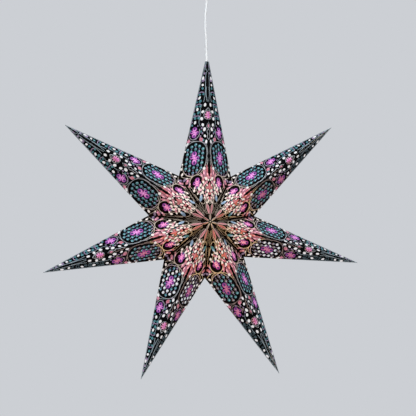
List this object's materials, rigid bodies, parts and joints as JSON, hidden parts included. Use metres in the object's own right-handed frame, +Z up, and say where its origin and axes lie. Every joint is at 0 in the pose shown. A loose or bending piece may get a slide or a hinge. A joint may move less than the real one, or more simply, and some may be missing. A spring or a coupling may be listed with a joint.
{
  "type": "paper star lantern",
  "caption": "Hanging star lantern of folded and printed card points glued round a small lamp, on its cord with a ceiling rose.",
  "frame": {"origin": "on the ceiling, in the middle of the ceiling rose's flat back, with the cord plumb below it", "axes": "+Z up, the star's front faces -Y, +X to the right seen from the front"},
  "size_m": [0.5696, 0.159, 0.7526],
  "materials": {
    "printed_card": "matte black card with a coloured print",
    "cord_white": "white cord sheath",
    "white_plastic": "white moulded plastic",
    "grey_plastic": "pale grey moulded plastic",
    "brass": "plain brass sheet",
    "opal_bulb": "opal tube lamp with a metal screw cap"
  },
  "bodies": {
    "root": {"star_point_top": "printed_card", "star_point_upper_right": "printed_card", "star_point_right": "printed_card", "star_point_lower_right": "printed_card", "star_point_lower_left": "printed_card", "star_point_left": "printed_card", "star_point_upper_left": "printed_card", "cord": "cord_white", "cord_stop": "white_plastic", "bulb": "opal_bulb", "lamp_holder_shell": "white_plastic", "lamp_holder_cap": "white_plastic", "lamp_contact_block": "grey_plastic", "lamp_centre_contact": "brass", "lamp_threaded_sleeve": "brass", "lamp_cord_grip": "white_plastic", "ceiling_rose_base": "grey_plastic", "ceiling_rose_cover": "white_plastic", "ceiling_cord_grip": "white_plastic"}
  },
  "joints": []
}
